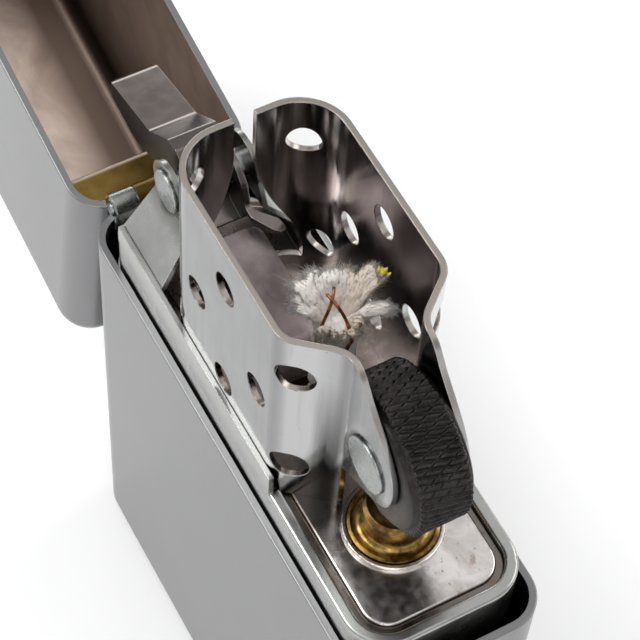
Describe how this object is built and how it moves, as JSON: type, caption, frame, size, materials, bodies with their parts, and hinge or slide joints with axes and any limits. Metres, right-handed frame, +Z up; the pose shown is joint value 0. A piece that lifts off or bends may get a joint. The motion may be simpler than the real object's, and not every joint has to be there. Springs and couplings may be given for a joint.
{
  "type": "lighter",
  "caption": "Windproof flip-top petrol lighter, lid thrown open, with chimney, wick, spark wheel and snap cam.",
  "frame": {"origin": "centre of the case's underside, the face it stands on", "axes": "+X from the hinge towards the spark wheel, +Z up out of the case, Y across the thin side, lid thrown open to -X"},
  "size_m": [0.0791, 0.0128, 0.0543],
  "materials": {
    "case_chrome": "satin brushed chrome with fine scratches",
    "hinge_steel": "plain bright steel",
    "lid_brass": "dulled golden brown brass",
    "insert_steel": "stained polished steel",
    "chimney_steel": "bright outside, smoke darkened inside",
    "cam_steel": "brushed, bright on the bends",
    "rivet_steel": "bright domed rivet heads",
    "spring_steel": "dull spring steel",
    "wheel_steel": "dark hardened steel with a cross-cut rim",
    "flint_brass": "turned brass",
    "flint_alloy": "dark grey pressed alloy",
    "wick_fibre": "woven cord with a frayed cream end",
    "copper": "thin dark copper wire",
    "cotton": "loose cotton packing",
    "felt": "pressed wool felt"
  },
  "bodies": {
    "case": {"case_bottom": "case_chrome", "hinge_plate_case": "hinge_steel", "hinge_pin": "hinge_steel", "insert_tank": "insert_steel", "top_plate": "insert_steel", "chimney": "chimney_steel", "cam_rivet": "rivet_steel", "cam_spring": "spring_steel", "cam_spring_rivet": "rivet_steel", "wheel_axle": "rivet_steel", "flint_tube": "flint_brass", "flint_spring": "spring_steel", "flint_screw": "flint_brass", "wick": "wick_fibre", "wick_wires": "copper", "cotton_ball_1": "cotton", "cotton_ball_2": "cotton", "cotton_ball_3": "cotton", "cotton_ball_4": "cotton", "cotton_ball_5": "cotton", "felt_pad": "felt"},
    "lid": {"lid": "case_chrome", "hinge_plate_lid": "lid_brass"},
    "cam": {"cam_lever": "cam_steel"},
    "wheel": {"spark_wheel": "wheel_steel"},
    "flint": {"flint": "flint_alloy", "flint_plunger": "flint_brass"}
  },
  "joints": [
    {"name": "lid_hinge", "type": "hinge", "parent": "case", "child": "lid", "pos_m": [-0.01915, 0, 0.03565], "axis": [0, 1, 0], "range_deg": [0, 170]},
    {"name": "cam_pivot", "type": "hinge", "parent": "case", "child": "cam", "pos_m": [-0.01385, 0, 0.0433], "axis": [0, 1, 0], "range_deg": [0, 85], "deforming": ["cam_spring"]},
    {"name": "wheel_spin", "type": "hinge", "parent": "case", "child": "wheel", "pos_m": [0.0105, 0, 0.0471], "axis": [0, 1, 0], "continuous": true},
    {"name": "flint_slide", "type": "slide", "parent": "case", "child": "flint", "axis": [0, 0, 1], "range_m": [-0.002, 0], "stiffness_N_per_m": 200, "springref_m": 0.008, "deforming": ["flint_spring"]}
  ],
  "couplings": [
    {"joint": "cam_pivot", "follows": "lid_hinge", "ratio": 0.5}
  ]
}
